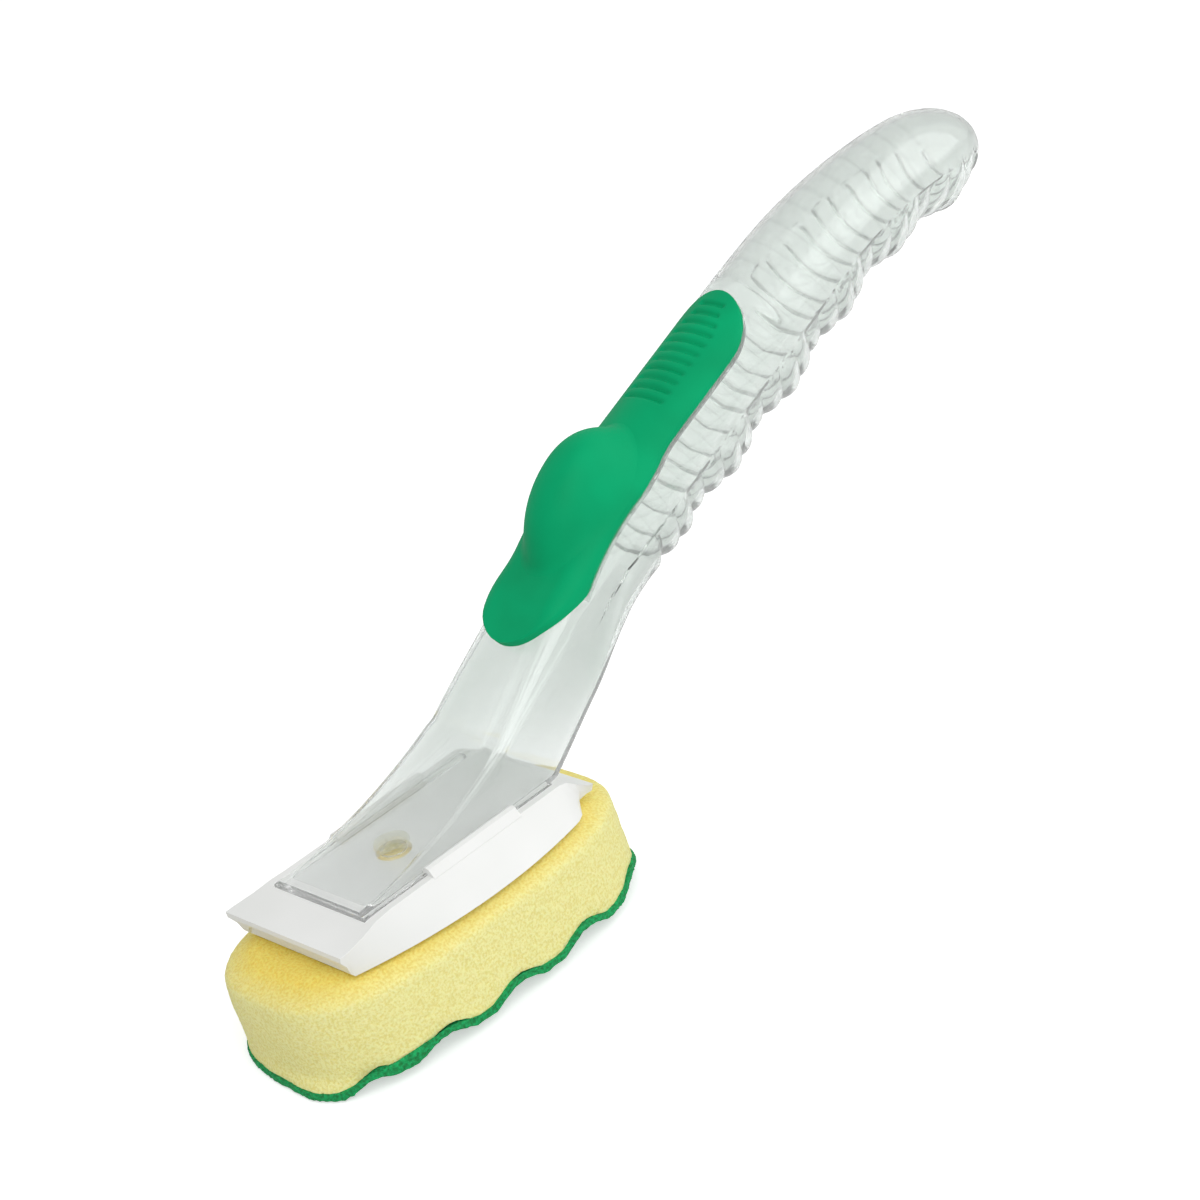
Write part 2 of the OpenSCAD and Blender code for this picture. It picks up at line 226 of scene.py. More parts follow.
def closeCuts(piece, sharpAngle):
    bm = bmesh.new()
    bm.from_mesh(piece.data)
    bmesh.ops.remove_doubles(bm, verts=bm.verts, dist=weldReach)
    fillHoles(bm)
    shade(bm, sharpAngle)
    bm.to_mesh(piece.data)
    bm.free()


# The rounded section of the handle has the same cells all the way, four corners and four flats
cornerCells, flatCells = 12, 11
sectionCells = 4 * (cornerCells + flatCells)


def sectionPoint(k, h, w, rb, ru):  # half height h, half width w, back corners rb and lower corners ru
    side, step = divmod(k % sectionCells, cornerCells + flatCells)
    corners = ((w - rb, h - rb, rb, 0), (rb - w, h - rb, rb, 90),
               (ru - w, ru - h, ru, 180), (w - ru, ru - h, ru, 270))
    y, z, r, a = corners[side]
    if step <= cornerCells:
        a = math.radians(a + 90 * step / cornerCells)
        return Vector((y + r * math.cos(a), z + r * math.sin(a)))
    end = math.radians(a + 90)
    p = Vector((y + r * math.cos(end), z + r * math.sin(end)))
    y, z, r, a = corners[(side + 1) % 4]
    q = Vector((y + r * math.cos(math.radians(a)), z + r * math.sin(math.radians(a))))
    return p.lerp(q, (step - cornerCells) / flatCells)


foot = {"long": 60.0, "wide": 29.5, "flange": 1.5, "flangeInset": 4.0, "flangeBevel": 0.4,
        "toeHigh": 2.4, "toeWide": 27.4, "heelWide": 25.6, "bow": ((-44.0, 3.2), (-25.0, 8.6)),
        "topCorner": 1.0, "topCornerGrows": 1.5, "lowCorner": 0.2, "toeBevel": 0.45, "toeCorner": 0.6,
        "floor": 1.3, "face": 0.8, "faceRun": 0.4, "hollowFrom": 0.057, "hollowRound": 2.2,
        "roundFrom": 0.055, "roundRun": 0.035,
        "outletX": -38.0, "outletWide": 6.0, "outletHigh": 5.0, "outletCells": 48}
grip = {"ribStart": 58.0, "ribs": 22, "ribPitch": 24.5 / 4, "ribDeep": 1.7, "ribFull": 0.9, "ribInside": 0.8,
        "fingerPitch": 24.5, "fingerHigh": 2.2, "firstFinger": 86.5, "fade": 12.0, "sideFade": 6.0,
        "wall": 1.15, "rowsPerRib": 9, "leastRound": 0.15, "sharp": 30, "cutSharp": 32}
ribEnd = grip["ribStart"] + grip["ribs"] * grip["ribPitch"]


def finger(s):
    wave = grip["fingerHigh"] / 2 * math.cos(2 * math.pi * (s - grip["firstFinger"]) / grip["fingerPitch"])
    return wave * smooth((s - grip["ribStart"]) / grip["fade"]) * smooth((ribEnd - s) / grip["fade"])


def ribGroove(s):
    if s < grip["ribStart"] or s > ribEnd:
        return 0
    arch = abs(math.sin(math.pi * (s - grip["ribStart"]) / grip["ribPitch"]))
    return grip["ribDeep"] * (1 - arch ** grip["ribFull"])


def footFace(f):  # the bowed top of the foot, from the toe at 0 to the heel at 1
    toe, low, high = (Vector(p) for p in ((-foot["long"], foot["toeHigh"]), *foot["bow"]))
    heel = 2 * neckPoint
    return (1 - f) ** 3 * toe + 3 * f * (1 - f) ** 2 * low + 3 * f * f * (1 - f) * high + f ** 3 * heel


def footSection(f, inset):
    top, base = footFace(f), Vector((-foot["long"] * (1 - f), 0))
    v = top - base
    h = v.length / 2
    w = (foot["toeWide"] + (foot["heelWide"] - foot["toeWide"]) * f) / 2
    c = (top + base) / 2
    if inset:  # the hollow has a thin face at the toe, a thin floor and rounded ends
        face = foot["face"] + (inset - foot["face"]) * smooth(f / foot["faceRun"])
        c += (foot["floor"] - face) / 2 * v.normalized()
        h -= (face + foot["floor"] - 2 * inset) / 2
        w -= foot["hollowRound"] * (1 - bulge(1 - (f - foot["roundFrom"]) / foot["roundRun"], 2))
    topCorner = foot["topCorner"] + foot["topCornerGrows"] * f
    return c, math.degrees(math.atan2(v.y, v.x)) - 90, h - inset, w - inset, topCorner, foot["lowCorner"]


def handlePoint(stop, k, inset):  # stop runs from 0 at the toe to 1 at the heel, and on up the handle
    if stop < 1:
        c, a, h, w, rb, ru = footSection(stop, inset)
        swell = 0
    else:
        s = stop - 1
        c, a, h, w = centre(s), slope(s), halfThick(s) - inset, halfWide(s) - inset
        rb, ru = backRound(s), underRound(s)
        swell = finger(s) - ribGroove(s) * (grip["ribInside"] if inset else 1)
    rb, ru = (max(grip["leastRound"], min(r - inset, h, w)) for r in (rb, ru))
    p = sectionPoint(k, h, w, rb, ru)
    if p.y < 0 and swell:
        p = p * (1 + swell * min(1, -grip["sideFade"] * p.y / h) / p.length)
    if inset and stop > 1 and p.y > 0:
        p.y -= pocket["deep"] * pocketShare(stop - 1, p.x)
    q = c + p.y * across(a)
    return toFrame(q.x, p.x, q.y)


# The green rubber's outline on the back, with half widths, and the pocket that it lies in
rubber = {"tabTip": 19.7, "widest": 37.0, "tabHalf": 12.1, "tabFull": 2.2, "narrowFrom": 60.0, "hinge": 75.5,
          "tailHalf": 10.7, "tailEnd": 114.0, "tailRound": 16.0, "tailFull": 2.5,
          "tabThick": 2.0, "tabLift": 2.7, "liftFrom": 30.0, "liftRun": 12.0, "proud": 0.5, "clear": 0.25,
          "seatFrom": 36.2, "seatRun": 1.6, "endHalf": 0.3, "columns": 34, "bodyRows": 37, "bodyStep": 1.1,
          "tailFrom": 78.0, "tailRows": 160, "tabRows": 15, "sharp": 50,
          "edge": ((1, 0.0), (1, 0.5), (0.992, 0.78), (0.975, 0.93), (0.95, 1))}
pocket = {"start": 35.4, "end": 114.0, "overrun": 0.1, "deep": 1.3, "clear": 0.15, "cutHigh": 9.0,
          "ramp": 4.0, "bed": ((60, 14.2), (75, 12.8)), "bedEdge": 2.0,
          "cells": 16, "rows": 60, "leastHalf": 0.2}


def rubberHalf(s, more=0):
    if s < rubber["widest"]:
        run = rubber["widest"] - rubber["tabTip"] + more
        return (rubber["tabHalf"] + more) * bulge((rubber["widest"] - s) / run, rubber["tabFull"])
    side = shift(s, rubber["narrowFrom"], rubber["tabHalf"], rubber["hinge"], rubber["tailHalf"])
    roundFrom = rubber["tailEnd"] - rubber["tailRound"]
    return (side + more) * bulge((s - roundFrom) / (rubber["tailRound"] + more), rubber["tailFull"])


def pocketShare(s, y):  # 1 over the pocket, 0 away from it
    start, end = pocket["start"] - pocket["ramp"], pocket["end"] + pocket["ramp"]
    ends = smooth((s - start) / pocket["ramp"]) * smooth((end - s) / pocket["ramp"])
    return ends * smooth((eased(s, pocket["bed"]) - abs(y)) / pocket["bedEdge"])


tipAngles = (20, 35, 50, 62, 72, 80, 86)  # rows crowd together toward the rounded tip


def ribbedStops(first, end):  # the rows of the ribs, then those of the tip
    rows = grip["ribs"] * grip["rowsPerRib"]
    stops = [1 + grip["ribStart"] + (ribEnd - grip["ribStart"]) * i / rows for i in range(first, rows + 1)]
    return stops + [1 + ribEnd + (end - ribEnd) * math.sin(math.radians(a)) for a in tipAngles]


# The rows of the handle's skins on the foot and up the neck; the first ones shape the foot's ends
outerRows = {"first": (0, 0.012), "footFrom": 0.0625, "foot": 15, "neck": 24, "neckStep": 2.4}
innerRows = {"first": (foot["hollowFrom"], 0.062, 0.07, 0.08, 0.092), "footFrom": 0.1, "foot": 18,
             "neck": 16, "neckStep": 3.6}


def handleStops(rows, ribFirst, end):
    stops = list(rows["first"])
    stops += [rows["footFrom"] + (1 - rows["footFrom"]) * i / rows["foot"] for i in range(rows["foot"])]
    stops += [1 + rows["neckStep"] * i for i in range(rows["neck"])]
    return stops + ribbedStops(ribFirst, end)


def clearHandle():
    outerStops = handleStops(outerRows, 0, wand["fullLong"])
    innerStops = handleStops(innerRows, 1, wand["fullLong"] - grip["wall"])

    def outerPlace(u, v):
        stop, k = nearest(outerStops, v), round(u * sectionCells)
        if stop > 0:
            return handlePoint(stop, k, 0)
        c, a, h, w, _, ru = footSection(0, 0)  # the toe's edges are bevelled
        p = sectionPoint(k, h - foot["toeBevel"], w - foot["toeBevel"], foot["toeCorner"], ru)
        q = c + p.y * across(a)
        return toFrame(q.x, p.x, q.y)

    def innerPlace(u, v):
        return handlePoint(nearest(innerStops, v), round(u * sectionCells), grip["wall"])

    outside = finish(wrapped(sectionCells, len(outerStops) - 1, outerPlace), "clearHandle", grip["sharp"])
    cutWith(outside, [flangeTool()], "UNION")
    inside = finish(wrapped(sectionCells, len(innerStops) - 1, innerPlace), "hollowTool", grip["sharp"])
    cutWith(outside, [inside, pocketTool(), openingTool(dome["openingClear"]), outletTool()])
    closeCuts(outside, grip["cutSharp"])
    return outside


def flangeTool():
    bm = bmesh.new()
    bmesh.ops.create_cube(bm, size=1)
    long, inset = foot["long"], foot["flangeInset"]
    for v in bm.verts:
        v.co = toFrame(v.co.x * (long - inset) - (long + inset) / 2, v.co.y * foot["wide"],
                       foot["flange"] * (v.co.z + 0.5))
    bmesh.ops.bevel(bm, geom=list(bm.edges), offset=foot["flangeBevel"] / 1000, segments=2, affect="EDGES",
                    profile=0.5, material=-1)
    return finish(bm, "flangeTool")


def pocketTool():
    cells, rows = pocket["cells"], pocket["rows"]
    floor = [(2 * i / cells - 1, -pocket["deep"]) for i in range(cells + 1)]
    roof = [(-share, pocket["cutHigh"]) for share, _ in floor]
    loop = floor + roof + floor[:1]
    half = (pocket["end"] + pocket["overrun"] - pocket["start"]) / 2
    stops = [pocket["start"] + half * (1 - math.cos(math.pi * i / rows)) for i in range(rows + 1)]

    def place(u, v):
        s = nearest(stops, v)
        share, up = nearest(loop, u)
        return onBack(s, share * max(pocket["leastHalf"], rubberHalf(s, pocket["clear"])), up)

    return finish(wrapped(len(loop) - 1, rows, place), "pocketTool")


dome = {"s": 54.5, "long": 34.0, "wide": 20.6, "high": 9.5, "wall": 1.6, "roof": 1.0, "fullness": 2.5,
        "fillet": 0.2, "rim": 1.16, "rimDrop": 0.02, "dropFrom": 0.7, "rings": 30, "innerRings": 12,
        "inner": 0.88, "innerRun": 0.9, "pole": 0.02, "lapFrom": 0.005, "lap": 0.25, "lapInner": 0.9,
        "skirt": 1.5, "lift": 0.02, "clear": 0.15, "cells": 96, "sharp": 60,
        "openingClear": 0.3, "openingHigh": 24.0, "openingCells": 72}


def onDome(x, y, z):  # x along the back, z square to it, from the dome's middle
    s = dome["s"]
    c = centre(s) + (halfThick(s) + z) * across(slope(s)) + x * along(slope(s))
    return toFrame(c.x, y, c.y)


def rod(cells, radius, high):
    bm = bmesh.new()
    bmesh.ops.create_cone(bm, cap_ends=True, segments=cells, radius1=radius, radius2=radius, depth=high)
    return bm


def openingTool(more):
    bm = rod(dome["openingCells"], 1, dome["openingHigh"])
    for v in bm.verts:
        v.co = onDome(v.co.x * (dome["long"] / 2 + more), v.co.y * (dome["wide"] / 2 + more), v.co.z)
    return finish(bm, "openingTool")


def outletTool():
    bm = rod(foot["outletCells"], foot["outletWide"] / 2, foot["outletHigh"])
    for v in bm.verts:
        v.co = toFrame(v.co.x + foot["outletX"], v.co.y, v.co.z)
    return finish(bm, "outletTool")


tailGrooves = {"first": 81.5, "pitch": 2.85, "count": 11, "half": 5.8, "deep": 0.75, "narrow": 0.2,
               "shrink": 0.35, "shrinkFrom": 7, "shrinkRun": 3, "endRun": 0.7}


def tailGroove(s, y):
    k = (s - tailGrooves["first"]) / tailGrooves["pitch"]
    if k < -0.5 or k > tailGrooves["count"] - 0.5:
        return 0
    shrink = tailGrooves["shrink"] * smooth((k - tailGrooves["shrinkFrom"]) / tailGrooves["shrinkRun"])
    half = tailGrooves["half"] * (1 - shrink)
    dip = math.exp(-((k - round(k)) / tailGrooves["narrow"]) ** 2)
    return tailGrooves["deep"] * dip * smooth((half - abs(y)) / tailGrooves["endRun"])


def coverHigh(s):  # the rubber's top over the handle's back
    lowered = smooth((s - rubber["liftFrom"]) / rubber["liftRun"])
    return rubber["tabLift"] + (rubber["proud"] - rubber["tabLift"]) * lowered


def rubberCover():
    widest, tailFrom, edge = rubber["widest"], rubber["tailFrom"], list(rubber["edge"])
    columns, tabRows = rubber["columns"], rubber["tabRows"]
    stops = [rubber["tabTip"] + (widest - rubber["tabTip"]) * (1 - math.cos(math.radians(90 * i / tabRows)))
             for i in range(tabRows + 1)]
    stops += [widest + rubber["bodyStep"] * i for i in range(1, rubber["bodyRows"] + 1)]
    stops += [tailFrom + (rubber["tailEnd"] - tailFrom) * math.sin(math.radians(90 * i / rubber["tailRows"]))
              for i in range(rubber["tailRows"] + 1)]
    # The cover's section as shares of its half width and its thickness, from the edge over the top and back
    share = [1 - 2 * i / columns for i in range(1, columns)]
    loop = edge + [(edge[-1][0] * k, 1) for k in share] + [(-k, level) for k, level in reversed(edge)]
    loop += [(-k, 0) for k in share] + edge[:1]

    def place(u, v):
        s = nearest(stops, v)
        k, level = nearest(loop, u)
        half = max(rubber["endHalf"], rubberHalf(s))
        high = coverHigh(s)
        tabLow, seatLow = high - rubber["tabThick"], rubber["clear"] - pocket["deep"]
        low = tabLow + (seatLow - tabLow) * smooth((s - rubber["seatFrom"]) / rubber["seatRun"])
        up = low + (high - low) * level
        if level == 1:
            up -= tailGroove(s, k * half)
        return onBack(s, k * half, up)

    cover = finish(wrapped(len(loop) - 1, len(stops) - 1, place), "rubberCover", rubber["sharp"])
    cutWith(cover, [openingTool(dome["clear"])])
    closeCuts(cover, rubber["sharp"])
    return cover


def domeShare(r):  # 1 at the middle, running out in a soft hollow curve round the edge
    a, rim = (1 - k ** dome["fullness"] for k in (r, dome["rim"]))
    rise, last = ((k + math.sqrt(k * k + dome["fillet"] ** 2)) / 2 for k in (a, rim))
    drop = smooth((r - dome["dropFrom"]) / (dome["rim"] - dome["dropFrom"]))
    return rise - (last + dome["rimDrop"]) * drop


def squeezeDome():
    rim, inner, rings = dome["rim"], dome["inner"], dome["innerRings"]
    rise = dome["high"] - rubber["proud"]
    profile = [(dome["pole"], rise * domeShare(dome["pole"]))]
    for i in range(1, dome["rings"] + 1):
        r = rim * i / dome["rings"]
        profile.append((r, rise * domeShare(r)))
    for r, sink in ((rim - dome["lapFrom"], dome["lap"]), (1.0, dome["lapInner"])):  # back under the rim
        profile.append((r, rise * domeShare(r) - sink))
    profile += [(1.0, -dome["skirt"]), (inner, -dome["skirt"])]
    for i in range(rings + 1):
        r = inner * (1 - i / rings) + dome["pole"] * i / rings
        thick = dome["roof"] + dome["wall"] * (1 - r / dome["innerRun"])
        profile.append((r, rise * domeShare(r / inner) - thick))

    def place(u, v):
        r, up = nearest(profile, v)
        a = 2 * math.pi * u
        s = dome["s"] + r * dome["long"] / 2 * math.cos(a)
        return onBack(s, r * dome["wide"] / 2 * math.sin(a), up + coverHigh(s) + dome["lift"])

    return finish(wrapped(dome["cells"], len(profile) - 1, place), "squeezeDome", dome["sharp"])


# The refill's sponge and scouring layer: the plan is a rounded oblong, the underside a row of waves
sponge = {"x": -33.7, "long": 98.6, "wide": 53.6, "squareness": 2 / 3, "top": -6.7, "inTray": -2.2,
          "wallTop": -12.0, "wallLong": 17.0, "footZ": -30.0, "lean": 1.4, "noseLean": 2.4,
          "kick": 0.85, "kickFrom": -26.5, "kickRun": 4.0, "kickSide": 6.0, "kickFade": 14.0,
          "pitch": 21.0, "waves": 2.9, "crestX": -45.5, "crestCut": 0.5, "scour": 1.7,
          "noseX": -71.0, "noseLong": 8.5, "noseLow": -31.3, "noseSkew": 6.0, "skewRun": 12.0,
          "columns": 380, "wallRows": 30, "topRows": 18, "topRun": 17.0,
          "shoulder": ((0, -12), (0.1, -11), (0.45, -10.2), (1.1, -9.6), (2.2, -9.1), (4, -8.3), (5.8, -7.4),
                       (7.2, -6.8), (8.4, -6.7)),
          "trayToe": -65.0, "toeRun": 2.5, "trayHeel": 1.0, "heelRun": 3.0, "trayHalf": 17.0, "halfRun": 2.0,
          "scourOut": 0.3, "scourGap": 0.02, "scourRows": 6, "underRows": 34, "underRun": 26.7,
          "grain": ((0.35, 0.12), (1.3, 0.08)), "pores": 1.6, "poreLeast": 0.25, "poreDeep": 0.35,
          "fuzz": ((1.1, 0.2), (3.1, 0.2)), "sharp": 70, "scourSharp": 80}


def spongePlan(u, z, inset):
    a = 2 * math.pi * u
    c, s = math.cos(a), math.sin(a)
    down = max(0, min(1, (sponge["wallTop"] - z) / sponge["wallLong"]))
    t = inset + sponge["lean"] * (1 - down)
    kick = sponge["kick"] * smooth((sponge["kickFrom"] - z) / sponge["kickRun"])  # the nose kicks out again
    kick *= smooth((sponge["kickSide"] - s * sponge["wide"] / 2) / sponge["kickFade"])
    front = sponge["noseLean"] * smooth(down) * (1 - kick) if c < 0 else 0
    x = sponge["x"] + (sponge["long"] / 2 - t - front) * math.copysign(abs(c) ** sponge["squareness"], c)
    return x, (sponge["wide"] / 2 - t) * math.copysign(abs(s) ** sponge["squareness"], s)


def spongeWave(x, y):
    seat = -wand["heelZ"]
    lift = (1 - math.cos(2 * math.pi * (x - sponge["crestX"]) / sponge["pitch"])) / 2
    wave = max(seat, seat - sponge["crestCut"] + sponge["waves"] * lift)
    noseX = sponge["noseX"] + sponge["noseSkew"] * smooth(y / sponge["skewRun"])
    return wave + (sponge["noseLow"] - wave) * smooth((noseX - x) / sponge["noseLong"])


def trayShare(x, y):  # 1 where the foam stands up into the tray
    toe = smooth((x - sponge["trayToe"]) / sponge["toeRun"])
    heel = smooth((sponge["trayHeel"] - x) / sponge["heelRun"])
    return toe * heel * smooth((sponge["trayHalf"] - abs(y)) / sponge["halfRun"])


def roughness(p, layers):  # noise in layers of how fine and how high
    return sum(noise.noise(p * fine) * high for fine, high in layers)


def foamSponge():
    wallRows, shoulder = sponge["wallRows"], sponge["shoulder"]
    shoulderRows = len(shoulder) - 1
    rows = wallRows + shoulderRows + sponge["topRows"]

    def place(u, v):
        k = v * rows
        if k <= wallRows:  # the wall, from the scouring layer up
            x, y = spongePlan(u, sponge["footZ"], 0)
            low = spongeWave(x, y) + sponge["scour"]
            z = low + (sponge["wallTop"] - low) * k / wallRows
            x, y = spongePlan(u, z, 0)
            return toFrame(x, y, z)
        if k <= wallRows + shoulderRows:
            inset, z = nearest(shoulder, (k - wallRows) / shoulderRows)
            x, y = spongePlan(u, sponge["wallTop"], inset)
            return toFrame(x, y, z)
        t = (k - wallRows - shoulderRows) / sponge["topRows"]
        x, y = spongePlan(u, sponge["wallTop"], shoulder[-1][0] + sponge["topRun"] * t)
        return toFrame(x, y, sponge["top"] + (sponge["inTray"] - sponge["top"]) * trayShare(x, y))

    bm = wrapped(sponge["columns"], rows, place)
    for v in bm.verts:
        p = v.co * 1000
        pore = noise.noise(p * sponge["pores"] + Vector((7, 3, 5))) - sponge["poreLeast"]
        v.co += v.normal * (roughness(p, sponge["grain"]) - max(0, pore) * sponge["poreDeep"]) / 1000
    return finish(bm, "foamSponge", sponge["sharp"])


def scourPad():
    sideRows = sponge["scourRows"]
    rows = sideRows + sponge["underRows"]

    def place(u, v):
        k = v * rows
        under = max(0, k - sideRows) / sponge["underRows"]
        x, y = spongePlan(u, sponge["footZ"], sponge["underRun"] * under - sponge["scourOut"])
        thick = sponge["scour"] * max(0, 1 - k / sideRows) - (sponge["scourGap"] if k == 0 else 0)
        return toFrame(x, y, spongeWave(x, y) + thick)

    bm = wrapped(sponge["columns"], rows, place)
    for v in bm.verts:
        v.co += v.normal * roughness(v.co * 1000, sponge["fuzz"]) / 1000
    return finish(bm, "scourPad", sponge["scourSharp"])


tray = {"merge": 1e-5, "flatAngle": 1, "sharp": 30, "softWide": 0.0006, "softSteps": 4, "softAngle": 32}


def refillTray():  # the plate of the frame with its edges softened
    bm = bmesh.new()
    bm.from_mesh(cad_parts["refill_plate"].data)
    bmesh.ops.remove_doubles(bm, verts=bm.verts, dist=tray["merge"])
    bmesh.ops.dissolve_limit(bm, angle_limit=math.radians(tray["flatAngle"]), verts=bm.verts, edges=bm.edges)
    piece = finish(bm, "refillTray", tray["sharp"])
    m = piece.modifiers.new("soften", "BEVEL")
    m.width, m.segments = tray["softWide"], tray["softSteps"]
    m.limit_method, m.angle_limit = "ANGLE", math.radians(tray["softAngle"])
    m.harden_normals = True
    return piece


def newMaterial(name, look):
    mat = bpy.data.materials.new(name)
    mat.use_nodes = True
    nodes = mat.node_tree.nodes
    shader = nodes["Principled BSDF"]
    shader.inputs["Roughness"].default_value = look["roughness"]
    return mat, nodes, mat.node_tree.links, shader


def objectSpot(nodes):
    return nodes.new("ShaderNodeTexCoord").outputs["Object"]


def noiseOn(nodes, links, spot, scale, detail=2):
    tex = nodes.new("ShaderNodeTexNoise")
    tex.inputs["Scale"].default_value = scale
    tex.inputs["Detail"].default_value = detail
    links.new(spot, tex.inputs["Vector"])
    return tex.outputs["Fac"]


def heightShare(nodes, links, spot, low, high):  # 0 at the height low, 1 at high
    axes = nodes.new("ShaderNodeSeparateXYZ")
    share = nodes.new("ShaderNodeMapRange")
    share.inputs["From Min"].default_value = low
    share.inputs["From Max"].default_value = high
    links.new(spot, axes.inputs[0])
    links.new(axes.outputs["Z"], share.inputs["Value"])
    return share.outputs["Result"]


def addGrain(nodes, links, shader, spot, look):  # the finish's fine relief
    grain = noiseOn(nodes, links, spot, look["grainScale"], look["grainDetail"])
    bump = nodes.new("ShaderNodeBump")
    bump.inputs["Strength"].default_value = look["grain"]
    bump.inputs["Distance"].default_value = look["grainHigh"]
    links.new(grain, bump.inputs["Height"])
    links.new(bump.outputs["Normal"], shader.inputs["Normal"])
    return grain


def twoTone(nodes, links, source, look, tones="tones"):  # a colour between two tones
    ramp = nodes.new("ShaderNodeValToRGB")
    for element, tone, position in zip(ramp.color_ramp.elements, look[tones], look["spread"]):
        element.position = position
        element.color = (*tone, 1)
    links.new(source, ramp.inputs["Fac"])
    return ramp.outputs["Color"]


# The first tone is painted light on the foot, the second the plastic's own tint up the neck and grip
clearLook = {"tones": ((0.985, 1.0, 0.995), (0.76, 0.8, 0.775)), "spread": (0.0, 1.0),
             "footBelow": 0.028, "gripAbove": 0.046, "alpha": 0.86, "roughness": 0.06, "ior": 1.46,
             "grainScale": 60, "grainDetail": 4, "grain": 0.04, "grainHigh": 0.0004}


def clearPlastic():  # paler in the foot than up the grip: painted light on the foot, standing in for the light on the tray seen through it
    mat, nodes, links, shader = newMaterial("clearPlastic", clearLook)
    shader.inputs["Alpha"].default_value = clearLook["alpha"]
    shader.inputs["Transmission Weight"].default_value = 1
    shader.inputs["IOR"].default_value = clearLook["ior"]
    spot = objectSpot(nodes)
    addGrain(nodes, links, shader, spot, clearLook)
    # painted light: the foot takes the paler tone, which fades to the plastic's own tint up the neck
    paintedFootLightFade = heightShare(nodes, links, spot, clearLook["footBelow"], clearLook["gripAbove"])
    links.new(twoTone(nodes, links, paintedFootLightFade, clearLook), shader.inputs["Base Color"])
    return mat


rubberLook = {"tones": ((0.0, 0.322, 0.126), (0.0, 0.372, 0.148)), "spread": (0.35, 0.65), "patchScale": 60,
              "roughness": 0.55, "shine": 0.08,
              "grainScale": 2600, "grainDetail": 4, "grain": 0.12, "grainHigh": 0.00008}


def greenRubber():
    mat, nodes, links, shader = newMaterial("greenRubber", rubberLook)
    shader.inputs["Specular IOR Level"].default_value = rubberLook["shine"]
    spot = objectSpot(nodes)
    addGrain(nodes, links, shader, spot, rubberLook)
    patches = noiseOn(nodes, links, spot, rubberLook["patchScale"])
    links.new(twoTone(nodes, links, patches, rubberLook), shader.inputs["Base Color"])
    return mat


trayLook = {"tones": ((0.795, 0.805, 0.785), (0.855, 0.86, 0.845)), "spread": (0.3, 0.7), "patchScale": 35,
            "roughness": 0.35, "grainScale": 700, "grainDetail": 4, "grain": 0.06, "grainHigh": 0.0001}


def whitePlastic():
    mat, nodes, links, shader = newMaterial("whitePlastic", trayLook)
    spot = objectSpot(nodes)
    addGrain(nodes, links, shader, spot, trayLook)
    patches = noiseOn(nodes, links, spot, trayLook["patchScale"])
    links.new(twoTone(nodes, links, patches, trayLook), shader.inputs["Base Color"])
    return mat


valveLook = {"tones": ((0.62, 0.62, 0.36), (0.74, 0.74, 0.46)), "spread": (0.3, 0.7), "alpha": 0.14,
             "roughness": 0.4, "grainScale": 1500, "grainDetail": 4, "grain": 0.1, "grainHigh": 0.0001}


def valveRubber():
    mat, nodes, links, shader = newMaterial("valveRubber", valveLook)
    shader.inputs["Alpha"].default_value = valveLook["alpha"]
    grain = addGrain(nodes, links, shader, objectSpot(nodes), valveLook)
    links.new(twoTone(nodes, links, grain, valveLook), shader.inputs["Base Color"])
    return mat


# The top tones are painted shade, a darker yellow than the side tones of the same foam
foamLook = {"side": ((0.79, 0.71, 0.245), (0.885, 0.85, 0.388)),
            "top": ((0.88, 0.64, 0.1), (0.96, 0.79, 0.18)), "spread": (0.36, 0.6),
            "sideBelow": 0.0182, "topAbove": 0.0216,
            "roughness": 0.9, "glow": 0.2, "glowReach": (0.004, 0.003, 0.001),
            "grainScale": 1700, "grainDetail": 5, "grain": 0.6, "grainHigh": 0.0004}


def spongeFoam():  # a darker, deeper yellow on top, beside the tray, than on the sides: painted shade on the top
    mat, nodes, links, shader = newMaterial("spongeFoam", foamLook)
    shader.inputs["Subsurface Weight"].default_value = foamLook["glow"]
    shader.inputs["Subsurface Radius"].default_value = foamLook["glowReach"]
    spot = objectSpot(nodes)
    pores = addGrain(nodes, links, shader, spot, foamLook)
    mix = nodes.new("ShaderNodeMix")
    mix.data_type = "RGBA"
    below, paintedShadeTopTone, mixed = mix.inputs[6], mix.inputs[7], mix.outputs[2]  # its sockets for colours
    # painted shade: above the shoulder the foam takes the darker top tones
    upward = heightShare(nodes, links, spot, foamLook["sideBelow"], foamLook["topAbove"])
    links.new(upward, mix.inputs["Factor"])
    links.new(twoTone(nodes, links, pores, foamLook, "side"), below)
    links.new(twoTone(nodes, links, pores, foamLook, "top"), paintedShadeTopTone)
    links.new(mixed, shader.inputs["Base Color"])
    return mat


scourLook = {"tones": ((0.0, 0.2, 0.045), (0.0, 0.42, 0.12)), "spread": (0.35, 0.62), "roughness": 0.8,
             "grainScale": 1400, "grainDetail": 6, "grain": 0.8, "grainHigh": 0.0008}


def scourFibre():
    mat, nodes, links, shader = newMaterial("scourFibre", scourLook)
    fibres = addGrain(nodes, links, shader, objectSpot(nodes), scourLook)
    links.new(twoTone(nodes, links, fibres, scourLook), shader.inputs["Base Color"])
    return mat


def dress(piece, material, slotName, *nodeNames):
    piece.data.materials.clear()
    piece.data.materials.append(material)
    if nodeNames:
        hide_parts(*nodeNames)


greenFinish = greenRubber()

handlePiece = clearHandle()
dress(handlePiece, clearPlastic(), "clear_plastic", "back_shell", "grip_shell")
handlePiece.visible_shadow = False  # clear plastic lets the light through to what is inside
handlePiece.visible_diffuse = False
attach(handlePiece, "handle")
print("clear handle made")

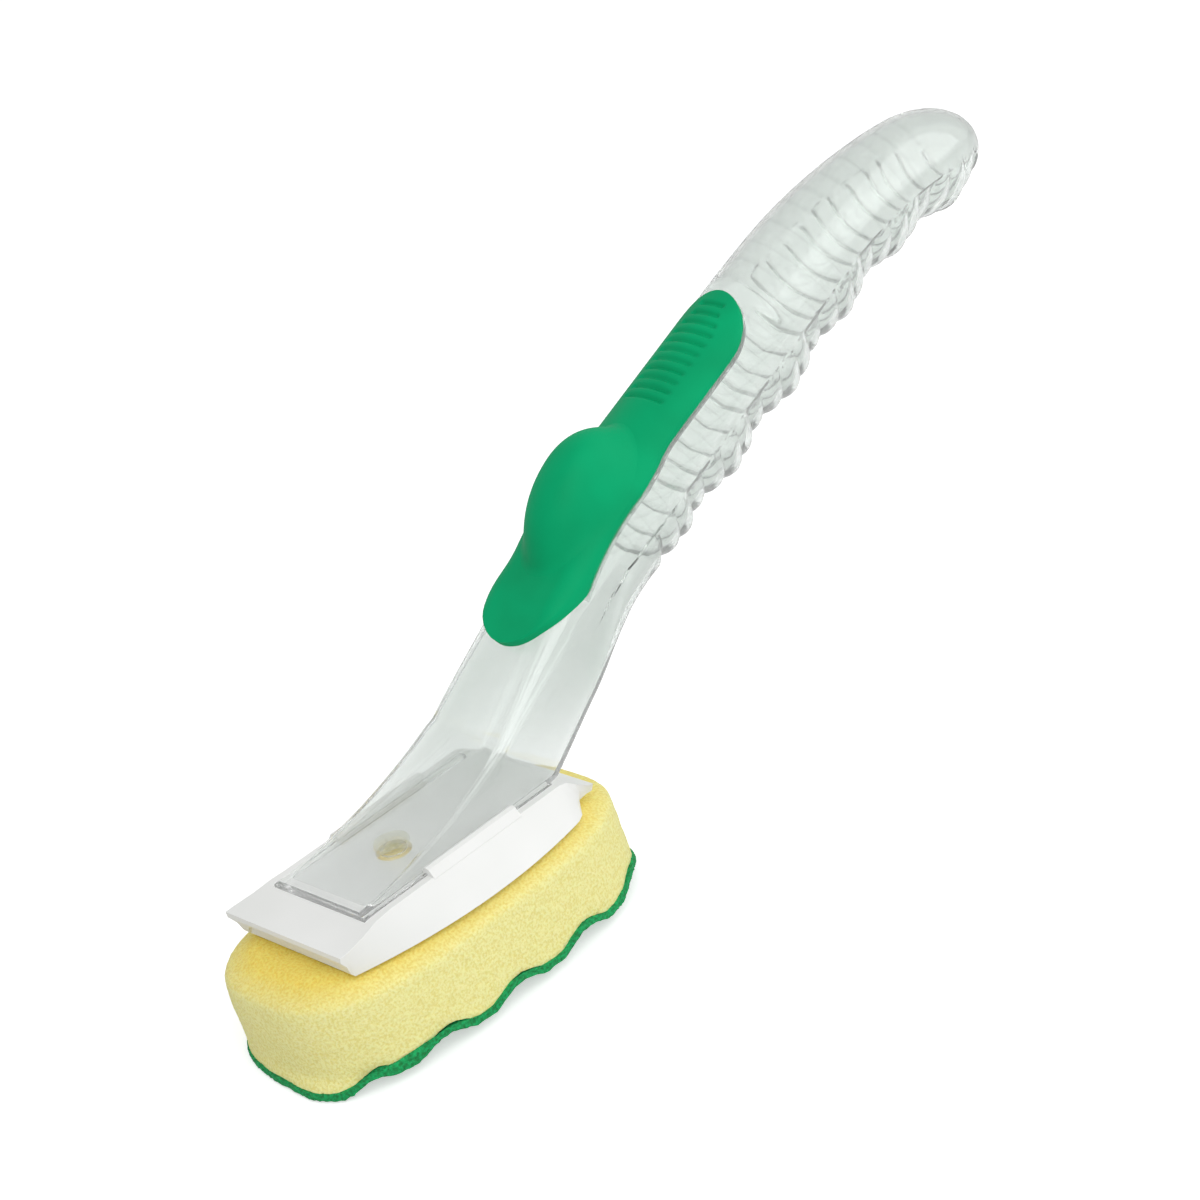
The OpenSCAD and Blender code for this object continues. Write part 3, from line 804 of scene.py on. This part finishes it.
coverPiece = rubberCover()
dress(coverPiece, greenFinish, "green_rubber", "grip_tail", "fill_flap")
onBack(79, 0, 0)
onBack(72.6, 0, 0)
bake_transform(coverPiece)
domePiece = squeezeDome()
dress(domePiece, greenFinish, "green_rubber", "squeeze_dome")
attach(domePiece, "flap")
onDome(0, 0, 0.3)
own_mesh(domePiece)
print("rubber made")

trayPiece = refillTray()
dress(trayPiece, whitePlastic(), "white_plastic", "refill_plate")
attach(trayPiece, "refill")
foamPiece = foamSponge()
dress(foamPiece, spongeFoam(), "sponge", "foam_sponge")
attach(foamPiece, "refill")
scourPiece = scourPad()
dress(scourPiece, scourFibre(), "scourer", "scour_pad")
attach(scourPiece, "refill")
print("refill made")

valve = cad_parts["outlet_valve"]
valveFinish = valveRubber()
for slotIndex in range(len(valve.material_slots)):
    valve.material_slots[slotIndex].material = valveFinish

# The photo's view: focal and image in its pixels, the rest in degrees and millimetres
view = {"azimuth": -39.639, "elevation": 27.0, "roll": -13.924, "focal": 3065.334, "image": 1200,
        "sideways": -17.638, "upward": -35.983, "distance": 671.642, "clip": (0.01, 20)}


def placeCamera():
    az, el, roll = (math.radians(view[k]) for k in ("azimuth", "elevation", "roll"))
    back = Vector((math.sin(az) * math.cos(el), -math.cos(az) * math.cos(el), math.sin(el)))
    right = Vector((0, 0, 1)).cross(back).normalized()
    up = back.cross(right)
    turn = Matrix.Rotation(roll, 3, back)
    right, up = turn @ right, turn @ up
    spot = view["distance"] * back - view["sideways"] * right - view["upward"] * up
    data = bpy.data.cameras.new("camera")
    data.lens = view["focal"] * data.sensor_width / view["image"]
    data.clip_start, data.clip_end = view["clip"]
    camera = bpy.data.objects.new("camera", data)
    axes = Matrix((right, up, back)).transposed().to_4x4()
    camera.matrix_world = Matrix.Translation(toFrame(*spot)) @ axes
    bpy.context.scene.collection.objects.link(camera)
    bpy.context.scene.camera = camera


def areaLamp(name, spot, aim, size, power):
    data = bpy.data.lights.new(name, "AREA")
    data.size, data.energy = size, power
    lamp = bpy.data.objects.new(name, data)
    lamp.location = spot
    lamp.rotation_euler = (Vector(aim) - Vector(spot)).to_track_quat("-Z", "Y").to_euler()
    bpy.context.scene.collection.objects.link(lamp)


floorLook = {"tone": (0.8, 0.8, 0.8, 1), "roughness": 0.9, "glow": 0.5}
studioLight = {"floor": -0.0028, "floorHalf": 4, "around": 0.6,
               "key": {"spot": (-0.3, -0.7, 0.9), "aim": (0.05, 0, 0.05), "size": 0.8, "power": 5.2},
               "side": {"spot": (0.7, -0.5, 0.5), "aim": (0.08, 0, 0.06), "size": 0.7, "power": 2.0}}


def greatest(nodes, links, first, *others):
    for other in others:
        most = nodes.new("ShaderNodeMath")
        most.operation = "MAXIMUM"
        links.new(first, most.inputs[0])
        links.new(other, most.inputs[1])
        first = most.outputs[0]
    return first


def paleFloor():  # white to the camera and through the clear plastic, pale grey as a source of light
    mat, nodes, links, shader = newMaterial("paleFloor", floorLook)
    shader.inputs["Base Color"].default_value = floorLook["tone"]
    shader.inputs["Emission Color"].default_value = (1, 1, 1, 1)
    seenBy = nodes.new("ShaderNodeLightPath").outputs
    glow = nodes.new("ShaderNodeMath")
    glow.operation = "MULTIPLY"
    glow.inputs[1].default_value = floorLook["glow"]
    links.new(greatest(nodes, links, seenBy["Is Camera Ray"], seenBy["Is Transmission Ray"]), glow.inputs[0])
    links.new(glow.outputs[0], shader.inputs["Emission Strength"])
    return mat


def backdrop():  # brighter to the camera, in reflections and through clear plastic than as a light
    world = bpy.data.worlds.new("studio")
    bpy.context.scene.world = world
    world.use_nodes = True
    nodes, links = world.node_tree.nodes, world.node_tree.links
    lit = nodes["Background"]
    lit.inputs["Color"].default_value = (1, 1, 1, 1)
    lit.inputs["Strength"].default_value = studioLight["around"]
    seen = nodes.new("ShaderNodeBackground")
    seen.inputs["Strength"].default_value = 1
    seenBy = nodes.new("ShaderNodeLightPath").outputs
    mix = nodes.new("ShaderNodeMixShader")
    share = greatest(nodes, links, *(seenBy["Is %s Ray" % k] for k in ("Camera", "Glossy", "Transmission")))
    links.new(share, mix.inputs[0])
    links.new(lit.outputs[0], mix.inputs[1])
    links.new(seen.outputs[0], mix.inputs[2])
    links.new(mix.outputs[0], nodes["World Output"].inputs["Surface"])


def studio():
    bm = bmesh.new()
    bmesh.ops.create_grid(bm, x_segments=1, y_segments=1, size=studioLight["floorHalf"])
    bmesh.ops.translate(bm, verts=bm.verts, vec=(0, 0, studioLight["floor"]))
    floor = finish(bm, "floor")
    floor.data.materials.append(paleFloor())
    backdrop()
    areaLamp("keyLamp", **studioLight["key"])
    areaLamp("sideLamp", **studioLight["side"])


placeCamera()
studio()
bpy.context.scene.view_settings.view_transform = "Standard"
print("scene lit")
